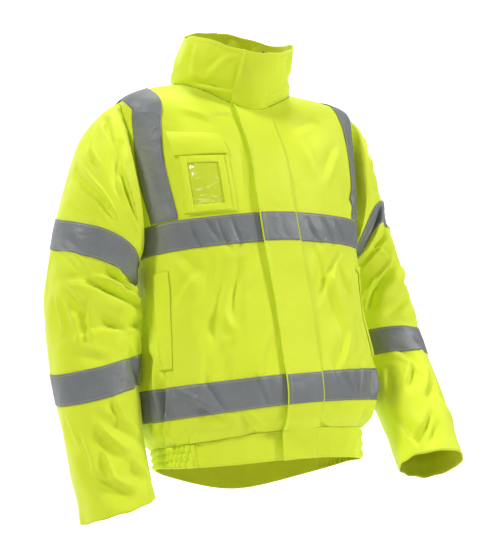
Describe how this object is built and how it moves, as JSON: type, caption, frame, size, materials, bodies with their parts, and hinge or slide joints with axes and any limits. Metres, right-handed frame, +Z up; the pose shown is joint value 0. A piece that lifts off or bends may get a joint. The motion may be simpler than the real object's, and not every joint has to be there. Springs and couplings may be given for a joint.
{
  "type": "worn hi-vis jacket",
  "caption": "Hollow blouson work jacket in fluorescent cloth with reflective tapes, stand collar, storm flap, card pocket and gathered hem.",
  "frame": {"origin": "middle of the neck at shoulder height, where the jacket hangs from its wearer", "axes": "+Z up, -Y the way the wearer faces, +X the wearer's left"},
  "size_m": [0.7063, 0.2988, 0.8222],
  "materials": {
    "shell_fabric": "coated woven polyester, slightly satin",
    "reflective_tape": "silver grey retroreflective tape",
    "clear_film": "clear flexible film",
    "zip_tape": "dark woven zip tape"
  },
  "bodies": {
    "root": {"front_right": "shell_fabric", "front_left": "shell_fabric", "back": "shell_fabric", "chest_tape_right": "reflective_tape", "chest_tape_left": "reflective_tape", "chest_tape_back": "reflective_tape", "waist_tape_right": "reflective_tape", "waist_tape_left": "reflective_tape", "waist_tape_back": "reflective_tape", "brace_tape_right": "reflective_tape", "brace_tape_left": "reflective_tape", "card_pocket": "shell_fabric", "card_window": "clear_film", "pocket_flap": "shell_fabric", "welt_right": "shell_fabric", "welt_left": "shell_fabric", "collar": "shell_fabric", "hem_band_right": "shell_fabric", "hem_band_left": "shell_fabric", "hem_elastic_right": "shell_fabric", "hem_elastic_left": "shell_fabric", "hem_band_back": "shell_fabric", "zip": "zip_tape", "storm_flap": "shell_fabric", "chest_tape_flap": "reflective_tape", "waist_tape_flap": "reflective_tape", "sleeve_right": "shell_fabric", "upper_band_right": "reflective_tape", "lower_band_right": "reflective_tape", "sleeve_left": "shell_fabric", "upper_band_left": "reflective_tape", "lower_band_left": "reflective_tape"}
  },
  "joints": []
}
